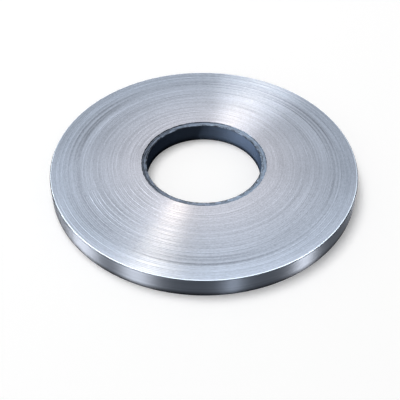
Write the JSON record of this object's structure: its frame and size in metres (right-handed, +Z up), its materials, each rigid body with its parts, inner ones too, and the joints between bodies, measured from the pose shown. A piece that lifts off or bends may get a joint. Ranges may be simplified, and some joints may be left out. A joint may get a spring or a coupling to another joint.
{
  "type": "nickel strip coil",
  "caption": "Coil of thin nickel strip, wound on itself in close turns round an open bore and lying flat, as it is stored and before it goes on an uncoiler.",
  "frame": {"origin": "on the table, under the middle of the bore", "axes": "+Z up along the bore's axis; +X and +Y lie in the table, and the coil is round about +Z"},
  "size_m": [0.3999, 0.4, 0.0265],
  "materials": {
    "nickel_strip": "bright rolled nickel, with slit edges that make fine rings on the coil's faces"
  },
  "bodies": {
    "root": {"strip_coil": "nickel_strip"}
  },
  "joints": []
}
